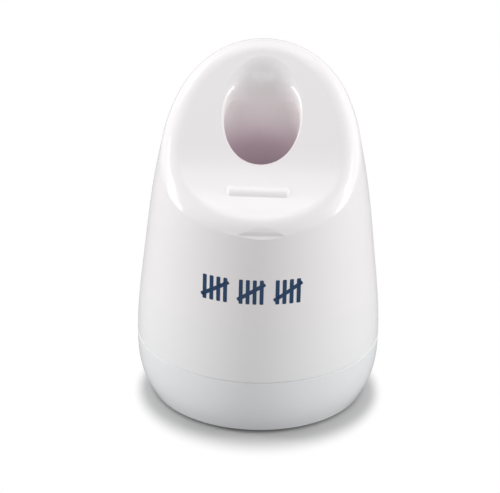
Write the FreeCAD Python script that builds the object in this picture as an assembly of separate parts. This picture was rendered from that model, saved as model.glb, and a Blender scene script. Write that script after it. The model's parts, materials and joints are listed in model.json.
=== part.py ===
import FreeCAD
import Part
import math
import os

# Desk stand that holds a pen-shaped counting instrument upright in a central well.
# The stand is an egg-shaped moulding, cut by a curved slanted face at the front.
# Frame: origin on the desk under the centre of the stand, +Z up, -Y towards the user.
# All sizes are in millimetres.

V = FreeCAD.Vector
UP = V(0, 0, 1)
ORIGIN = V(0, 0, 0)

# Driving dimensions of the outer form
seam_height = 21.6
seam_radius = 41.8
waist_height = 50.0
waist_radius = 39.6
shoulder_height = 80.0
shoulder_radius = 35.8
neck_height = 98.0
neck_radius = 32.5
crown_height = 114.0
crown_radius = 29.7
apex_height = 139.0
shell_edge_break = 0.2
base_edge_break = 0.45

# Driving dimensions of the underside
foot_stand_off = 0.8
base_edge_radius = 36.8
base_edge_run = 3.3
base_edge_rise = 6.1
base_flank_pull = 11.5
base_edge_round = 0.8

# Driving dimensions of the slanted face
ramp_angle = 43.5
ramp_height_at_axis = 100.6
ramp_foot_y = -8.0
face_arc_radius = 66.0
rim_fillet = 7.3

# Driving dimensions of the pen well
well_radius = 12.7
well_floor_thickness = 2.2
well_floor_gap = 0.2
tube_wall = 2.0
mouth_wall_run_front = 2.2
mouth_wall_run_back = 18.0
mouth_face_run_front = 1.2
mouth_face_run_back = 5.5
mouth_run_growth = 5
mouth_sections = 36
mouth_tool_overlap = 0.06
mouth_tool_run = 0.5

# Driving dimensions of the raised bar on the face
bar_length = 21.2
bar_crown_radius = 4.0
bar_height = 0.75
bar_y = -22.2
bar_end_fillet = 1.6

# Driving dimensions of the nick in the front lip; its angles are in degrees
nick_scoop_radius = 4.2
nick_scoop_low = -8.0
nick_scoop_high = 46.0
nick_ledge_slope = 46.0
nick_ledge_reach = 3.0
nick_bend_radius = 250.0
nick_span = 10.0
nick_turn = 3.0

# Driving dimensions of the walls
shell_wall = 2.8
face_wall = 4.0
core_ceiling_height = 112.0
base_wall = 2.6
base_floor = 2.6
lip_wall = 1.6
lip_height = 3.0
lip_clearance = 0.2

# Driving dimensions of the cover screws and their bosses
cover_screw_count = 4
cover_screw_circle = 29.5
cover_screw_start = 45.0
cover_screw_radius = 1.5
cover_screw_length = 20.0
cover_head_radius = 2.8
cover_head_height = 2.2
cover_seat_height = 9.0
cover_boss_radius = 3.6
cover_boss_height = 20.0
pillar_wall = 1.7

# Driving dimensions of the ballast
ballast_radius = 23.5
ballast_thickness = 8.0
ballast_pad_height = 1.0
ballast_pad_radius = 21.0
ballast_pad_width = 3.0
ballast_post_count = 3
ballast_post_circle = 15.0
ballast_post_start = 90.0
ballast_post_radius = 3.2
ballast_post_recess = 0.3
ballast_screw_radius = 1.5
ballast_screw_length = 7.0
ballast_head_radius = 2.8
ballast_head_height = 2.0
washer_radius = 5.0
washer_thickness = 0.8

# Driving dimensions of the rubber feet
foot_count = 4
foot_circle = 29.5
foot_start = 0.0
foot_radius = 4.5
foot_recess = 1.2
foot_edge = 0.4

# Driving dimensions of the stiffening webs inside the shell
web_count = 4
web_thickness = 1.6
web_bottom_height = 27.0
web_top_height = 66.0
web_overlap = 1.0

# Clearances shared by the fitted pieces
screw_clearance = 0.25
thread_gap = 0.05
seat_clearance = 0.25
post_clearance = 0.3
pilot_extra_depth = 1.0

# Shape shared by both kinds of screw
slot_width = 0.9
slot_depth = 1.0
slot_length_ratio = 1.2
head_flat_ratio = 0.7
head_side_ratio = 0.6
tip_length = 1.5

# Derived sizes
floor_underside = foot_stand_off
floor_top = floor_underside + base_floor
shell_inner_radius = seam_radius - shell_wall
lip_radius = shell_inner_radius - lip_clearance
tube_radius = well_radius + tube_wall
tube_bottom_height = seam_height + well_floor_gap
well_floor_height = tube_bottom_height + well_floor_thickness
cover_hole_radius = cover_screw_radius + screw_clearance
counterbore_radius = cover_head_radius + seat_clearance
pillar_radius = counterbore_radius + pillar_wall
pad_inner_radius = ballast_pad_radius - ballast_pad_width
ballast_bottom = floor_top + ballast_pad_height
ballast_top = ballast_bottom + ballast_thickness
ballast_seat = ballast_top + washer_thickness
post_top = ballast_top - ballast_post_recess
foot_top = floor_underside + foot_recess
slope_step = 0.01
lip_centre_steps = 6
near = 0.01
overlap = 1.0
far = 4.0 * seam_radius


def revolve_profile(edges):
    """Turn a closed outline in the XZ plane about Z, with its seam line at the back."""
    solid = Part.Face(Part.Wire(edges)).revolve(ORIGIN, UP, 360)
    solid.rotate(ORIGIN, UP, 90)
    return solid


def cylinder(radius, bottom, top, x=0.0, y=0.0):
    """Upright cylinder between two heights, with its seam line at the back."""
    solid = Part.makeCylinder(radius, top - bottom, V(x, y, bottom), UP)
    solid.rotate(V(x, y, 0), UP, 90)
    return solid


def ring(outer, inner, bottom, top):
    """Upright tube between two heights."""
    return cylinder(outer, bottom, top).cut(cylinder(inner, bottom, top))


def around(count, radius, start):
    """Points spaced evenly on a circle about the axis, first at the start angle."""
    points = []
    for index in range(count):
        angle = math.radians(start + 360.0 * index / count)
        points.append((radius * math.cos(angle), radius * math.sin(angle)))
    return points


def skin_curve(inset):
    """Outline of the skin above the seam in the XZ plane, moved in by the inset."""
    curve = Part.BSplineCurve()
    stations = [
        V(seam_radius - inset, 0, seam_height),
        V(waist_radius - inset, 0, waist_height),
        V(shoulder_radius - inset, 0, shoulder_height),
        V(neck_radius - inset, 0, neck_height),
        V(crown_radius - inset, 0, crown_height),
        V(0, 0, apex_height - inset),
    ]
    curve.interpolate(Points=stations, InitialTangent=V(0, 0, 1), FinalTangent=V(-1, 0, 0))
    return curve


def front_radius(height):
    """Radius of the skin at a height above the seam."""
    points = skin_curve(0.0).intersect(Part.makeLine(V(0, 0, height), V(far, 0, height)).Curve)
    return max(point.X for point in points)


def upper_form(inset):
    """Solid of revolution above the seam, with its skin moved in by the inset."""
    curve = skin_curve(inset)
    foot = V(0, 0, seam_height)
    axis = Part.makeLine(curve.EndPoint, foot)
    base = Part.makeLine(foot, curve.StartPoint)
    return revolve_profile([curve.toShape(), axis, base])


def lower_form(inset, bottom):
    """Solid of revolution below the seam, with its skin moved in by the inset."""
    top = V(seam_radius - inset, 0, seam_height)
    edge = V(base_edge_radius - inset, 0, bottom)
    curve = Part.BezierCurve()
    curve.setPoles([
        edge,
        V(edge.x + base_edge_run, 0, bottom + base_edge_rise),
        V(top.x, 0, seam_height - base_flank_pull),
        top,
    ])
    lid = Part.makeLine(top, V(0, 0, seam_height))
    axis = Part.makeLine(V(0, 0, seam_height), V(0, 0, bottom))
    floor = Part.makeLine(V(0, 0, bottom), edge)
    return revolve_profile([curve.toShape(), lid, axis, floor])


def seam_edge_cut(size, direction):
    """Ring that breaks the outer edge of a moulding at the seam, above or below it."""
    outer = seam_radius + size
    low = V(seam_radius - size, 0, seam_height)
    corner = V(outer, 0, seam_height)
    high = V(outer, 0, seam_height + 2.0 * direction * size)
    sides = [Part.makeLine(low, corner), Part.makeLine(corner, high), Part.makeLine(high, low)]
    return revolve_profile(sides)


def face_arc_centre():
    """Centre of the curved part of the face, in the plane through the axis and the front."""
    slope = math.radians(ramp_angle)
    foot = V(0, ramp_foot_y, ramp_height_at_axis + ramp_foot_y * math.tan(slope))
    return foot + V(0, -math.sin(slope), math.cos(slope)) * face_arc_radius


def face_height(y):
    """Height of the slanted face at a distance in front of (-) or behind the axis."""
    if y >= ramp_foot_y:
        return ramp_height_at_axis + y * math.tan(math.radians(ramp_angle))
    centre = face_arc_centre()
    return centre.z - math.sqrt(face_arc_radius ** 2 - (y - centre.y) ** 2)


def face_slope(y):
    """Slope of the curved part of the face, in degrees."""
    sine = math.sin(math.radians(ramp_angle)) + (y - ramp_foot_y) / face_arc_radius
    return math.degrees(math.asin(sine))


def face_cutter(offset):
    """Block above the slanted face; the offset moves its underside into the body."""
    slope = math.radians(ramp_angle)
    radius = face_arc_radius + offset
    centre = face_arc_centre()
    start = centre + V(0, math.sin(slope), -math.cos(slope)) * radius
    middle = centre + V(0, radius * math.sin(slope / 2.0), -radius * math.cos(slope / 2.0))
    lowest = centre + V(0, 0, -radius)
    front = V(0, -far, lowest.z)
    back = start + V(0, math.cos(slope), math.sin(slope)) * far
    sky = back.z + far
    outline = [
        Part.makeLine(front, lowest),
        Part.Arc(lowest, middle, start).toShape(),
        Part.makeLine(start, back),
        Part.makeLine(back, V(0, back.y, sky)),
        Part.makeLine(V(0, back.y, sky), V(0, -far, sky)),
        Part.makeLine(V(0, -far, sky), front),
    ]
    wire = Part.Wire(outline)
    wire.translate(V(-far, 0, 0))
    return Part.Face(wire).extrude(V(2.0 * far, 0, 0))


def is_turned(face):
    return isinstance(face.Surface, Part.SurfaceOfRevolution)


def rim_edges(body):
    """Edges where the slanted face meets the turned skin."""
    edges = []
    for edge in body.Edges:
        faces = body.ancestorsOfType(edge, Part.Face)
        turned = [is_turned(face) for face in faces]
        if edge.BoundBox.ZMin > waist_height and any(turned) and not all(turned):
            edges.append(edge)
    return edges


def mouth_section(degrees):
    """Outline of the mouth cutter in the radial plane at an angle about the axis."""
    side = math.sin(math.radians(degrees))
    growth = ((1.0 + side) / 2.0) ** mouth_run_growth
    wall_run = mouth_wall_run_front + (mouth_wall_run_back - mouth_wall_run_front) * growth
    face_run = mouth_face_run_front + (mouth_face_run_back - mouth_face_run_front) * growth
    y = well_radius * side
    rise = face_height(y + slope_step) - face_height(y - slope_step)
    slope = math.atan(rise / (2.0 * slope_step) * side)
    corner_z = face_height(y) + mouth_tool_overlap * (1.0 / math.cos(slope) - math.tan(slope))
    along_face = V(math.cos(slope), 0, math.sin(slope))
    corner = V(well_radius - mouth_tool_overlap, 0, corner_z)
    wall_end = corner - UP * wall_run
    face_end = corner + along_face * face_run
    outer = face_end + along_face * mouth_tool_run
    core_r = well_radius / 2.0
    top = max(outer.z, corner.z) + tube_wall
    bottom = wall_end.z - tube_wall
    points = [
        V(corner.x, 0, bottom),
        wall_end,
        face_end,
        outer,
        V(outer.x, 0, top),
        V(core_r, 0, top),
        V(core_r, 0, bottom),
    ]
    bend = Part.BezierCurve()
    bend.setPoles([wall_end, corner, face_end])
    edges = [Part.makeLine(points[0], wall_end), bend.toShape()]
    for first, second in zip(points[2:], points[3:] + points[:1]):
        edges.append(Part.makeLine(first, second))
    wire = Part.Wire(edges)
    wire.rotate(ORIGIN, UP, degrees)
    return wire


def mouth_cutter():
    """Ring that rounds the well's mouth, crisp at the front and full at the crest."""
    sections = []
    for index in range(mouth_sections):
        sections.append(mouth_section(-90.0 + 360.0 * index / mouth_sections))
    return Part.makeLoft(sections, True, False, True)


def lip_centre():
    """Centre of the rounded front lip, in the plane through the axis and the front."""
    arc_centre = face_arc_centre()
    height = face_height(-shoulder_radius)
    for _ in range(lip_centre_steps):
        y = rim_fillet - front_radius(height)
        drop = math.sqrt((face_arc_radius + rim_fillet) ** 2 - (y - arc_centre.y) ** 2)
        height = arc_centre.z - drop
    return V(0, y, height)


def towards_front(degrees):
    """Direction to the front, raised by an angle."""
    return V(0, -math.cos(math.radians(degrees)), math.sin(math.radians(degrees)))


def nick_cutter():
    """Curved block that scoops the shallow crescent nick out of the rounded front lip."""
    centre = lip_centre() + towards_front(nick_scoop_high) * (rim_fillet - nick_scoop_radius)
    root = centre + towards_front(nick_scoop_low) * nick_scoop_radius
    middle = centre + towards_front((nick_scoop_low + nick_scoop_high) / 2.0) * nick_scoop_radius
    top = centre + towards_front(nick_scoop_high) * nick_scoop_radius
    low = root + towards_front(-nick_ledge_slope) * nick_ledge_reach
    far_top = top + towards_front(nick_scoop_high) * nick_ledge_reach
    high = V(0, low.y, far_top.z)
    outline = [
        Part.makeLine(low, root),
        Part.Arc(root, middle, top).toShape(),
        Part.makeLine(top, far_top),
        Part.makeLine(far_top, high),
        Part.makeLine(high, low),
    ]
    pivot = root + V(0, nick_bend_radius, 0)
    side = Part.Face(Part.Wire(outline))
    side.rotate(pivot, UP, -nick_span / 2.0)
    block = side.revolve(pivot, UP, nick_span)
    block.rotate(ORIGIN, UP, nick_turn)
    return block


def well_bore():
    return cylinder(well_radius, well_floor_height, far)


def raised_bar():
    """Low rounded ridge moulded on the face, in front of the well."""
    start = V(-bar_length / 2.0, 0, bar_height - bar_crown_radius)
    bar = Part.makeCylinder(bar_crown_radius, bar_length, start, V(1, 0, 0))
    ends = [edge for edge in bar.Edges if edge.BoundBox.XLength < near]
    bar = bar.makeFillet(bar_end_fillet, ends)
    bar.rotate(ORIGIN, V(1, 0, 0), face_slope(bar_y))
    bar.translate(V(0, bar_y, face_height(bar_y)))
    return bar


def outer_body():
    """Upper moulding as a full body, before it is hollowed."""
    body = upper_form(0.0).cut(face_cutter(0.0))
    body = body.makeFillet(rim_fillet, rim_edges(body))
    body = body.cut(nick_cutter())
    body = body.cut(well_bore())
    body = body.cut(mouth_cutter())
    body = body.fuse(raised_bar())
    return body.cut(seam_edge_cut(shell_edge_break, 1.0))


def radial_web(angle, inner, outer, bottom, top):
    """Upright web along a radius at an angle about the axis."""
    size = V(outer - inner, web_thickness, top - bottom)
    web = Part.makeBox(size.x, size.y, size.z, V(inner, -web_thickness / 2.0, bottom))
    web.rotate(ORIGIN, UP, angle)
    return web


def shell_core():
    """Hollow inside the upper moulding, less the tube, bosses and webs it holds."""
    core = upper_form(shell_wall).cut(face_cutter(face_wall))
    ceiling = Part.makeBox(2.0 * far, 2.0 * far, far, V(-far, -far, core_ceiling_height))
    kept = [ceiling, cylinder(tube_radius, tube_bottom_height, far)]
    boss_top = seam_height + cover_boss_height
    for x, y in around(cover_screw_count, cover_screw_circle, cover_screw_start):
        kept.append(cylinder(cover_boss_radius, seam_height, boss_top, x, y))
    for index in range(cover_screw_count):
        angle = cover_screw_start + 360.0 * index / cover_screw_count
        kept.append(radial_web(angle, cover_screw_circle, far, web_bottom_height, boss_top))
    for index in range(web_count):
        angle = 360.0 * index / web_count
        web = radial_web(angle, tube_radius - web_overlap, far, web_bottom_height, web_top_height)
        kept.append(web)
    return core.cut(kept)


def upper_shell():
    """Upper moulding: skin, slanted face, well tube, screw bosses and webs."""
    shell = outer_body().cut(shell_core())
    pilot_top = cover_seat_height + cover_screw_length + pilot_extra_depth
    holes = []
    for x, y in around(cover_screw_count, cover_screw_circle, cover_screw_start):
        holes.append(cylinder(cover_screw_radius + thread_gap, seam_height - overlap, pilot_top, x, y))
    return shell.cut(holes)


def base_cup():
    """Lower moulding: tray with a locating lip, screw pillars and ballast posts."""
    cup = lower_form(0.0, floor_underside)
    bottom_edges = [edge for edge in cup.Edges if edge.BoundBox.ZMax < floor_underside + near]
    cup = cup.makeFillet(base_edge_round, bottom_edges)
    cup = cup.cut(seam_edge_cut(base_edge_break, -1.0))
    cup = cup.cut(lower_form(base_wall, floor_top))
    joined = [
        ring(seam_radius - base_wall / 2.0, lip_radius - lip_wall, seam_height - lip_height, seam_height),
        ring(lip_radius, lip_radius - lip_wall, seam_height - lip_height, seam_height + lip_height),
        ring(ballast_pad_radius, pad_inner_radius, floor_underside + overlap, ballast_bottom),
    ]
    holes = []
    for x, y in around(cover_screw_count, cover_screw_circle, cover_screw_start):
        joined.append(cylinder(pillar_radius, floor_underside + overlap, seam_height, x, y))
        holes.append(cylinder(cover_hole_radius, 0.0, seam_height + overlap, x, y))
        holes.append(cylinder(counterbore_radius, 0.0, cover_seat_height, x, y))
    for x, y in around(ballast_post_count, ballast_post_circle, ballast_post_start):
        joined.append(cylinder(ballast_post_radius, floor_underside + overlap, post_top, x, y))
        pilot_bottom = ballast_seat - ballast_screw_length - pilot_extra_depth
        holes.append(cylinder(ballast_screw_radius + thread_gap, pilot_bottom, post_top + overlap, x, y))
    for x, y in around(foot_count, foot_circle, foot_start):
        holes.append(cylinder(foot_radius + seat_clearance, 0.0, foot_top, x, y))
    return cup.fuse(joined).cut(holes)


def ballast_plate():
    """Steel disc that keeps the stand from tipping."""
    plate = cylinder(ballast_radius, ballast_bottom, ballast_top)
    holes = []
    for x, y in around(ballast_post_count, ballast_post_circle, ballast_post_start):
        holes.append(cylinder(ballast_post_radius + post_clearance, 0.0, ballast_top + overlap, x, y))
    return plate.cut(holes)


def screw(radius, length, head_radius, head_height):
    """Pan-head screw along +Z, with the underside of its head at the origin."""
    shank_end = length - tip_length
    outline = [
        V(0, 0, -head_height),
        V(head_radius * head_flat_ratio, 0, -head_height),
        V(head_radius, 0, -head_height * head_side_ratio),
        V(head_radius, 0, 0),
        V(radius, 0, 0),
        V(radius, 0, shank_end),
        V(0, 0, length),
    ]
    edges = []
    for first, second in zip(outline, outline[1:] + outline[:1]):
        edges.append(Part.makeLine(first, second))
    body = revolve_profile(edges)
    slot_length = head_radius * slot_length_ratio
    for angle in (0.0, 90.0):
        corner = V(-slot_length / 2.0, -slot_width / 2.0, -head_height)
        slot = Part.makeBox(slot_length, slot_width, slot_depth, corner)
        slot.rotate(ORIGIN, UP, angle)
        body = body.cut(slot)
    return body


def cover_screws():
    """Screws that hold the two mouldings together from below."""
    solids = []
    for x, y in around(cover_screw_count, cover_screw_circle, cover_screw_start):
        one = screw(cover_screw_radius, cover_screw_length, cover_head_radius, cover_head_height)
        one.translate(V(x, y, cover_seat_height))
        solids.append(one)
    return Part.makeCompound(solids)


def ballast_screws():
    """Screws that hold the ballast down on the posts."""
    solids = []
    for x, y in around(ballast_post_count, ballast_post_circle, ballast_post_start):
        one = screw(ballast_screw_radius, ballast_screw_length, ballast_head_radius, ballast_head_height)
        one.rotate(ORIGIN, V(1, 0, 0), 180)
        one.translate(V(x, y, ballast_seat))
        solids.append(one)
    return Part.makeCompound(solids)


def ballast_washers():
    """Washers that carry the screws' clamping force out to the ballast."""
    solids = []
    for x, y in around(ballast_post_count, ballast_post_circle, ballast_post_start):
        washer = cylinder(washer_radius, ballast_top, ballast_seat, x, y)
        solids.append(washer.cut(cylinder(ballast_screw_radius + screw_clearance, 0.0, far, x, y)))
    return Part.makeCompound(solids)


def rubber_foot(x, y):
    """Round rubber foot, pressed into its recess in the base."""
    foot = cylinder(foot_radius, 0.0, foot_top, x, y)
    return foot.makeFillet(foot_edge, [edge for edge in foot.Edges if edge.BoundBox.ZMax < near])


def main():
    os.makedirs("parts", exist_ok=True)
    nodes = {
        "upper_shell": upper_shell(),
        "base_cup": base_cup(),
        "ballast_plate": ballast_plate(),
        "ballast_washers": ballast_washers(),
        "ballast_screws": ballast_screws(),
        "cover_screws": cover_screws(),
    }
    for number, (x, y) in enumerate(around(foot_count, foot_circle, foot_start), start=1):
        nodes["rubber_foot_%d" % number] = rubber_foot(x, y)
    for name, shape in nodes.items():
        shape.exportStep("parts/%s.step" % name)
        print(name, "solids", len(shape.Solids), "valid", shape.isValid(), "volume", round(shape.Volume, 1))


main()
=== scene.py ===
import json
import math
import bpy
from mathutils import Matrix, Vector


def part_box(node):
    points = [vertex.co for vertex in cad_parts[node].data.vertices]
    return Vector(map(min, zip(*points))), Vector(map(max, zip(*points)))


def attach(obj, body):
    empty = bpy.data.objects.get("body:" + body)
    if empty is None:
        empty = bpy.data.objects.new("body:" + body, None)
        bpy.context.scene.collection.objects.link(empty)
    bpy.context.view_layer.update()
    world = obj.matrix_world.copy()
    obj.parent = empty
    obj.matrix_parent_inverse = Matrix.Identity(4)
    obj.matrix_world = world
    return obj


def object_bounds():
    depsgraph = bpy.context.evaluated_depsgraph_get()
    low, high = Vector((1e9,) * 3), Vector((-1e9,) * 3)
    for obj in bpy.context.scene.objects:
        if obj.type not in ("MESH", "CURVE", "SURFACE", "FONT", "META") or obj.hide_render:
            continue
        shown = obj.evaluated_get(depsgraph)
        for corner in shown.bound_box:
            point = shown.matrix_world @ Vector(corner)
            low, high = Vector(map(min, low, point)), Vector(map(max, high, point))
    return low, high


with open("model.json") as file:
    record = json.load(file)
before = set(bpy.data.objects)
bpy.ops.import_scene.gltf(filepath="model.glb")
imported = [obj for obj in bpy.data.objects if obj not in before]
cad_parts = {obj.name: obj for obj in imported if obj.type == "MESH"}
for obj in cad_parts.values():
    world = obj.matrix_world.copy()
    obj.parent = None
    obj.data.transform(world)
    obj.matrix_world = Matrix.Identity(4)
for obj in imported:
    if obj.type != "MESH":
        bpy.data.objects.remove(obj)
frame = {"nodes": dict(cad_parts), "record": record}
cad_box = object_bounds()

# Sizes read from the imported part. All lengths in this script are in metres.
seam_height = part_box("upper_shell")[0].z
well_radius = frame["record"]["mounts"][0]["dims"]["r_mm"] / 1000.0
floor_height = cad_box[0].z

# The tally marks printed on the front wall
tally_middle = -0.0010
tally_height = 0.0540
tally_groups = 3
tally_group_pitch = 0.0121
tally_strokes = 4
tally_stroke_pitch = 0.0023
tally_stroke_length = 0.0084
tally_stroke_width = 0.0013
tally_slash_length = 0.0108
tally_slash_lean = math.radians(58.0)
tally_corner = 0.00030
tally_corner_steps = 3
tally_corner_share = 0.49
tally_lift = 0.00001
tally_film = 0.00004
tally_columns = 2
tally_rows = 16

# Colours of the finishes
shell_white = (0.890, 0.864, 0.872)
shell_shade = (0.876, 0.852, 0.861)
shell_foot = (0.872, 0.872, 0.878)
# The well's pink tint: lighter than the shell near the top as painted light, darker deep
# down as painted shade
well_pink_painted_light = (0.930, 0.870, 0.880)
well_pink_painted_shade = (0.850, 0.715, 0.780)
base_white = (0.850, 0.856, 0.872)
base_shade = (0.835, 0.842, 0.860)
# Painted shade on the parting line's edge, over the glint its chamfer catches
seam_painted_shade = (0.70, 0.70, 0.71)
print_blue = (0.006, 0.048, 0.135)
steel_light = (0.66, 0.66, 0.67)
steel_dark = (0.50, 0.50, 0.52)
rubber_black = (0.022, 0.022, 0.024)
rubber_dust = (0.060, 0.060, 0.062)
# The floor's grey, seen only inside the disc round the stand, as painted shadow
painted_shadow_grey = (0.64, 0.64, 0.64)
painted_shadow_grey_clouded = (0.63, 0.63, 0.63)
floor_bounce = (0.42, 0.42, 0.42)
plain_white = (1.0, 1.0, 1.0, 1.0)

# Heights at which the shell takes up its warm tint, and the well its pink tint with
# painted light near the top and painted shade deeper down
foot_tint_low = 0.030
foot_tint_high = 0.050
pink_and_painted_light_low = 0.083
pink_and_painted_light_middle = 0.098
pink_and_painted_light_high = 0.113

# How far inside and outside the bore's wall the well's pink tint and painted light fade
# out
pink_and_painted_light_inset = 0.0002
pink_and_painted_light_spread = 0.0015

# Distances from the parting line over which its edge fades, how much painted shade darkens
# it, and how much rougher it is
seam_inner = 0.00035
seam_outer = 0.00065
seam_shade_share = 0.30
seam_roughness = 0.40

# Noise patterns: scale per metre, detail and, where given, roughness
flow_clouds = (28.0, 2.0)
orange_peel = (420.0, 2.0)
peel_grain = (3200.0, 1.0)
wipe_marks = (60.0, 3.0)
ink_clouds = (900.0, 3.0)
ink_grain = (2500.0, 2.0)
steel_clouds = (180.0, 3.0)
steel_grain = (1500.0, 2.0)
dust_specks = (700.0, 5.0, 0.6)
rubber_grain = (2200.0, 4.0)
floor_clouds = (3.0, 2.0)
floor_grain = (60.0, 2.0)

# Levels of the noise between which a pattern fades in
flow_fade = (0.35, 0.70)
wipe_fade = (0.55, 0.80)
dust_fade = (0.50, 0.80)

# How much each pattern adds to the colour or to the height of its finish
flow_share = 0.6
grain_height = 0.08
ink_shade = 0.7
ring_height = 0.5
dust_share = 0.5

# Roughness of each finish, and what its patterns add to it
plastic_roughness = 0.14
wipe_roughness = 0.03
grain_roughness = 0.03
ink_roughness = 0.34
ink_unevenness = 0.12
steel_roughness = 0.30
steel_cloudiness = 0.14
rubber_roughness = 0.72
dust_roughness = 0.15
floor_roughness = 0.95

# Depth and strength of the relief on each finish
plastic_relief = (0.00001, 0.5)
ink_relief = (0.00001, 0.6)
steel_relief = (0.000012, 0.6)
rubber_relief = (0.00003, 0.8)
floor_relief = (0.0001, 0.1)

# Turning rings, in radians per metre of radius
ballast_rings = 9000.0
fastener_rings = 14000.0

# Index of refraction of the polished plastic
plastic_ior = 1.5

# The studio: place, width and height, and radiance of each softbox
softboxes = {
    "overhead_back": ((0.0, 0.45, 0.95), (0.80, 0.60), 0.95),
    "overhead_spot": ((0.0, 0.12, 1.10), (0.50, 0.50), 1.10),
    "right_panel": ((0.95, 0.10, 0.50), (1.00, 0.90), 0.75),
    "left_strip": ((-0.95, 0.0, 0.45), (0.16, 0.50), 10.8),
    "right_strip": ((0.95, 0.0, 0.45), (0.16, 0.50), 4.1),
    "left_kicker": ((-0.70, 0.50, 0.90), (0.50, 0.50), 1.40),
    "right_kicker": ((0.70, 0.50, 0.90), (0.50, 0.50), 0.25),
    "left_low": ((-0.95, 0.0, 0.12), (0.30, 0.22), 10.5),
    "right_low": ((0.95, 0.0, 0.12), (0.30, 0.22), 11.5),
    "front_panel": ((0.0, -1.30, 0.14), (1.60, 0.25), 1.75),
}
sky_ambient = 0.56
sky_seen = 1.0
floor_width = 8.0
floor_gap = 0.0002

# The painted shadow on the floor: a grey disc with a feathered edge round the stand, in
# which the real shadow also falls
shadow_middle = (0.0006, -0.0051)
shadow_radius = 0.0412
shadow_feather_side = 0.0026
shadow_feather_front = 0.0077

# The camera, fitted to the photograph
camera_distance = 0.850
camera_elevation = math.radians(25.28)
camera_azimuth = math.radians(2.4)
camera_roll = math.radians(0.99)
camera_clip = 0.01
aim_side = -0.00328
aim_height = 0.05222
image_width = 500.0
focal_pixels = 2477.8
sensor_width = 36.0


class Value:
    """A value in a finish. Arithmetic on it adds Math nodes to the finish."""

    def __init__(self, finish, socket):
        self.finish = finish
        self.socket = socket

    def math(self, operation, *values):
        settings = {"operation": operation}
        return self.finish.node("ShaderNodeMath", settings, list(values))

    def __add__(self, other):
        return self.math("ADD", self, other)

    def __radd__(self, other):
        return self.math("ADD", other, self)

    def __sub__(self, other):
        return self.math("SUBTRACT", self, other)

    def __rsub__(self, other):
        return self.math("SUBTRACT", other, self)

    def __mul__(self, other):
        return self.math("MULTIPLY", self, other)

    def __rmul__(self, other):
        return self.math("MULTIPLY", other, self)

    def __truediv__(self, other):
        return self.math("DIVIDE", self, other)

    def either(self, other):
        return self.math("MAXIMUM", self, other)

    def root(self):
        return self.math("SQRT", self)

    def sine(self):
        return self.math("SINE", self)

    def step(self, low, high):
        """Smooth rise from 0 at low to 1 at high."""
        settings = {"interpolation_type": "SMOOTHSTEP"}
        inputs = {"Value": self, "From Min": low, "From Max": high}
        return self.finish.node("ShaderNodeMapRange", settings, inputs)


class Finish:
    """The nodes of a material or of the world, under construction."""

    def __init__(self, owner):
        self.owner = owner
        owner.use_nodes = True
        self.tree = owner.node_tree
        self.tree.nodes.clear()
        self.place = self.node("ShaderNodeTexCoord", {}, {}, "Object")

    def node(self, kind, settings, inputs, output=0):
        """Add a node, set it up, fill its sockets and give back one output."""
        made = self.tree.nodes.new(kind)
        for key, setting in settings.items():
            setattr(made, key, setting)
        pairs = enumerate(inputs) if isinstance(inputs, list) else inputs.items()
        for key, value in pairs:
            if isinstance(value, Value):
                self.tree.links.new(value.socket, made.inputs[key])
            else:
                made.inputs[key].default_value = value
        return Value(self, made.outputs[output]) if made.outputs else None

    def axes(self):
        """The three coordinates of the surface point."""
        split = self.tree.nodes.new("ShaderNodeSeparateXYZ")
        self.tree.links.new(self.place.socket, split.inputs[0])
        return [Value(self, socket) for socket in split.outputs]

    def noise(self, scale, detail, roughness=0.5):
        """Noise over the surface point, from about 0 to 1."""
        inputs = {
            "Vector": self.place,
            "Scale": scale,
            "Detail": detail,
            "Roughness": roughness,
        }
        return self.node("ShaderNodeTexNoise", {}, inputs)

    def blend(self, amount, first, second):
        """Mix two colours."""
        first = first if isinstance(first, Value) else (*first, 1.0)
        second = second if isinstance(second, Value) else (*second, 1.0)
        inputs = {"Factor": amount, 6: first, 7: second}
        return self.node("ShaderNodeMix", {"data_type": "RGBA"}, inputs, 2)

    def ray(self, kind):
        """1 for rays of one kind, else 0."""
        return self.node("ShaderNodeLightPath", {}, {}, "Is %s Ray" % kind)

    def relief(self, height, distance, strength):
        """The normal of a surface that carries a fine height pattern."""
        inputs = {"Height": height, "Distance": distance, "Strength": strength}
        return self.node("ShaderNodeBump", {}, inputs)

    def principled(self, colour, roughness, normal, constants):
        """A principled shader, with constants on its own sockets."""
        inputs = {"Base Color": colour, "Roughness": roughness, "Normal": normal}
        inputs.update(constants)
        return self.node("ShaderNodeBsdfPrincipled", {}, inputs)

    def surface(self, shader):
        """Close the material with its shader and give it back."""
        self.node("ShaderNodeOutputMaterial", {}, {"Surface": shader})
        return self.owner


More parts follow.
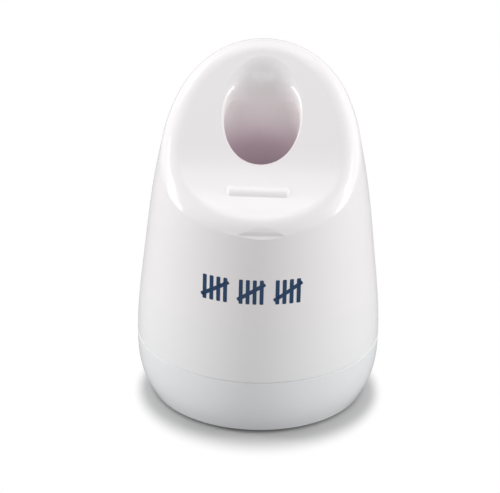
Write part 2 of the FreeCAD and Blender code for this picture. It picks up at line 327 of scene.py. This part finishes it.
def moulded_white(name, white, shade, with_well):
    """Polished white moulding: faint flow clouds, orange peel and soft wipe marks.

    The edge at the parting line is duller and darkened with painted shade. The upper
    moulding also turns warmer above its foot, and has a faint pink tint down its well,
    with painted light near the top of the well and painted shade deeper down.
    """
    finish = Finish(bpy.data.materials.new(name))
    x, y, z = finish.axes()
    clouds = finish.noise(*flow_clouds).step(*flow_fade)
    colour = finish.blend(clouds * flow_share, white, shade)
    if with_well:
        above_foot = z.step(foot_tint_low, foot_tint_high)
        colour = finish.blend(above_foot, shell_foot, colour)
        # A pink tint down the bore, with painted light near its top and painted shade
        # deeper down
        reach = (x * x + y * y).root()
        inside = 1.0 - reach.step(well_radius - pink_and_painted_light_inset, well_radius + pink_and_painted_light_spread)
        pink_and_painted_light = finish.blend(z.step(pink_and_painted_light_low, pink_and_painted_light_middle), well_pink_painted_shade, well_pink_painted_light)
        deep = 1.0 - z.step(pink_and_painted_light_middle, pink_and_painted_light_high)
        colour = finish.blend(inside * deep, colour, pink_and_painted_light)
    peel = finish.noise(*orange_peel)
    grain = finish.noise(*peel_grain)
    wipes = finish.noise(*wipe_marks).step(*wipe_fade)
    from_seam = z - seam_height
    edge = 1.0 - (from_seam * from_seam).step(seam_inner ** 2, seam_outer ** 2)
    # Painted shade darkens the parting line's edge
    colour = finish.blend(edge * seam_shade_share, colour, seam_painted_shade)
    roughness = plastic_roughness + wipes * wipe_roughness + grain * grain_roughness
    roughness = roughness + edge * seam_roughness
    normal = finish.relief(peel + grain * grain_height, *plastic_relief)
    shader = finish.principled(colour, roughness, normal, {"IOR": plastic_ior})
    return finish.surface(shader)


def printed_ink():
    """Pad-printed ink: nearly flat, with a trace of uneven film."""
    finish = Finish(bpy.data.materials.new("printed_ink"))
    uneven = finish.noise(*ink_clouds)
    darker = tuple(part * ink_shade for part in print_blue)
    colour = finish.blend(uneven, print_blue, darker)
    normal = finish.relief(finish.noise(*ink_grain), *ink_relief)
    roughness = ink_roughness + uneven * ink_unevenness
    return finish.surface(finish.principled(colour, roughness, normal, {}))


def zinc_steel(name, ring_scale):
    """Zinc-plated steel: fine turning rings about the axis, cloudy passivation."""
    finish = Finish(bpy.data.materials.new(name))
    x, y = finish.axes()[:2]
    reach = (x * x + y * y).root()
    rings = (reach * ring_scale).sine()
    clouds = finish.noise(*steel_clouds)
    colour = finish.blend(clouds, steel_light, steel_dark)
    roughness = steel_roughness + clouds * steel_cloudiness
    height = rings * ring_height + finish.noise(*steel_grain)
    normal = finish.relief(height, *steel_relief)
    shader = finish.principled(colour, roughness, normal, {"Metallic": 1.0})
    return finish.surface(shader)


def foot_rubber():
    """Dull rubber that has picked up a little dust."""
    finish = Finish(bpy.data.materials.new("foot_rubber"))
    dust = finish.noise(*dust_specks).step(*dust_fade)
    colour = finish.blend(dust * dust_share, rubber_black, rubber_dust)
    normal = finish.relief(finish.noise(*rubber_grain), *rubber_relief)
    roughness = rubber_roughness + dust * dust_roughness
    return finish.surface(finish.principled(colour, roughness, normal, {}))


def studio_floor():
    """Pale floor that keeps the object's shadow inside a grey disc with a feathered edge,
    as painted shadow, and turns plain white away from it.
    """
    finish = Finish(bpy.data.materials.new("studio_floor"))
    seen = finish.ray("Camera")
    clouds = finish.noise(*floor_clouds)
    pale = finish.blend(clouds, painted_shadow_grey, painted_shadow_grey_clouded)
    colour = finish.blend(seen, floor_bounce, pale)
    normal = finish.relief(finish.noise(*floor_grain), *floor_relief)
    matt = {"Specular IOR Level": 0.0}
    plain = finish.principled(colour, floor_roughness, normal, matt)
    glow = {"Color": plain_white, "Strength": sky_seen}
    white = finish.node("ShaderNodeEmission", {}, glow)
    x, y = finish.axes()[:2]
    aside = x - shadow_middle[0]
    ahead = y - shadow_middle[1]
    reach = (aside * aside + ahead * ahead).root()
    forward = ahead * ahead / (reach * reach)
    widening = shadow_feather_front - shadow_feather_side
    feather = shadow_feather_side + forward * widening
    # Painted shadow: the grey floor shows inside the feathered disc, plain white beyond it
    away = ((reach - shadow_radius) / feather).step(-1.0, 1.0) * seen
    mixed = finish.node("ShaderNodeMixShader", {}, {0: away, 1: plain, 2: white})
    return finish.surface(mixed)


def dress(node, material):
    """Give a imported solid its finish."""
    for slot in frame["nodes"][node].material_slots:
        slot.material = material


def is_corner(place, length):
    """Whether a point of a flat stroke is one of its four corners."""
    at_side = abs(place.x) > tally_stroke_width * tally_corner_share
    at_end = abs(place.y) > length * tally_corner_share
    return at_side and at_end


def tally_stroke(x, z, length, lean):
    """One printed stroke, laid on the front wall and given the thickness of its ink."""
    bpy.ops.object.select_all(action="DESELECT")
    bpy.ops.mesh.primitive_grid_add(
        x_subdivisions=tally_columns,
        y_subdivisions=tally_rows,
        size=1.0,
        location=(x, cad_box[0].y - tally_stroke_width, z),
        rotation=(math.radians(90.0), lean, 0.0),
    )
    stroke = bpy.context.object
    stroke.scale = (tally_stroke_width, length, 1.0)
    bpy.ops.object.transform_apply(location=False, rotation=False, scale=True)
    bpy.ops.object.mode_set(mode="EDIT")
    bpy.ops.mesh.select_mode(type="VERT")
    bpy.ops.mesh.select_all(action="DESELECT")
    bpy.ops.object.mode_set(mode="OBJECT")
    for point in stroke.data.vertices:
        point.select = is_corner(point.co, length)
    bpy.ops.object.mode_set(mode="EDIT")
    bpy.ops.mesh.bevel(
        offset=tally_corner, segments=tally_corner_steps, affect="VERTICES")
    bpy.ops.object.mode_set(mode="OBJECT")
    bpy.ops.object.transform_apply(location=True, rotation=True, scale=True)
    wrap = stroke.modifiers.new("lay_on_wall", "SHRINKWRAP")
    wrap.target = frame["nodes"]["upper_shell"]
    wrap.wrap_method = "PROJECT"
    wrap.use_project_y = True
    wrap.use_positive_direction = True
    wrap.offset = tally_lift
    bpy.ops.object.modifier_apply(modifier=wrap.name)
    film = stroke.modifiers.new("ink_film", "SOLIDIFY")
    film.thickness = tally_film
    film.offset = 1.0
    bpy.ops.object.modifier_apply(modifier=film.name)
    return stroke


def centred(index, count, pitch):
    """Place of one item in an evenly spaced row about 0."""
    return (index - (count - 1) / 2.0) * pitch


def tally_print(material):
    """Groups of four uprights crossed by a slash, as one printed piece."""
    strokes = []
    for group in range(tally_groups):
        middle = tally_middle + centred(group, tally_groups, tally_group_pitch)
        for index in range(tally_strokes):
            x = middle + centred(index, tally_strokes, tally_stroke_pitch)
            strokes.append(tally_stroke(x, tally_height, tally_stroke_length, 0.0))
        slash = tally_stroke(middle, tally_height, tally_slash_length, tally_slash_lean)
        strokes.append(slash)
    bpy.ops.object.select_all(action="DESELECT")
    for stroke in strokes:
        stroke.select_set(True)
    bpy.context.view_layer.objects.active = strokes[0]
    bpy.ops.object.join()
    piece = bpy.context.object
    piece.name = "tally_print"
    piece.data.materials.append(material)
    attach(piece, "root")


def studio():
    """White floor, softboxes and a white surround."""
    bpy.ops.object.select_all(action="DESELECT")
    below = (0.0, 0.0, floor_height - floor_gap)
    bpy.ops.mesh.primitive_plane_add(size=floor_width, location=below)
    floor = bpy.context.object
    floor.name = "studio_floor"
    floor.data.materials.append(studio_floor())
    for name, (place, size, radiance) in softboxes.items():
        softbox(name, place, size, radiance)
    surround()


def surround():
    """Even light from all round, plain white to the camera and in anything glossy."""
    world = bpy.data.worlds.new("studio_surround")
    bpy.context.scene.world = world
    sky = Finish(world)
    seen = sky.ray("Camera").either(sky.ray("Glossy")).either(sky.ray("Transmission"))
    level = sky_ambient + seen * (sky_seen - sky_ambient)
    glow = {"Color": plain_white, "Strength": level}
    shade = sky.node("ShaderNodeBackground", {}, glow)
    sky.node("ShaderNodeOutputWorld", {}, {"Surface": shade})


def softbox(name, place, size, radiance):
    """Rectangular light aimed at the middle of the object."""
    middle = Vector((0.0, 0.0, cad_box[1].z / 2.0))
    turn = (Vector(place) - middle).to_track_quat("Z", "Y").to_euler()
    bpy.ops.object.light_add(type="AREA", location=place, rotation=turn)
    lamp = bpy.context.object
    lamp.name = name
    lamp.data.shape = "RECTANGLE"
    lamp.data.size = size[0]
    lamp.data.size_y = size[1]
    lamp.data.energy = radiance * math.pi * size[0] * size[1]


def photo_camera():
    """Camera at the photograph's place, with its slight roll."""
    level = math.cos(camera_elevation)
    back = Vector((
        math.sin(camera_azimuth) * level,
        -math.cos(camera_azimuth) * level,
        math.sin(camera_elevation),
    ))
    side = Vector((math.cos(camera_azimuth), math.sin(camera_azimuth), 0.0))
    up = back.cross(side)
    target = Vector((0.0, 0.0, aim_height)) + side * aim_side
    right = side * math.cos(camera_roll) + up * math.sin(camera_roll)
    top = up * math.cos(camera_roll) - side * math.sin(camera_roll)
    bpy.ops.object.camera_add(location=target + back * camera_distance)
    camera = bpy.context.object
    camera.name = "photo_camera"
    turn = camera.matrix_world.to_3x3()
    turn.col[0] = right
    turn.col[1] = top
    turn.col[2] = back
    camera.rotation_euler = turn.to_euler()
    camera.data.sensor_width = sensor_width
    camera.data.lens = focal_pixels / image_width * sensor_width
    camera.data.clip_start = camera_clip
    bpy.context.scene.camera = camera


dress("upper_shell", moulded_white("shell_plastic", shell_white, shell_shade, True))
dress("base_cup", moulded_white("base_plastic", base_white, base_shade, False))
dress("ballast_plate", zinc_steel("ballast_steel", ballast_rings))
fastener_finish = zinc_steel("fastener_steel", fastener_rings)
for hardware in ("ballast_washers", "ballast_screws", "cover_screws"):
    dress(hardware, fastener_finish)
rubber_finish = foot_rubber()
for node in frame["nodes"]:
    if node.startswith("rubber_foot"):
        dress(node, rubber_finish)

tally_print(printed_ink())
studio()
photo_camera()
bpy.context.scene.view_settings.view_transform = "Standard"
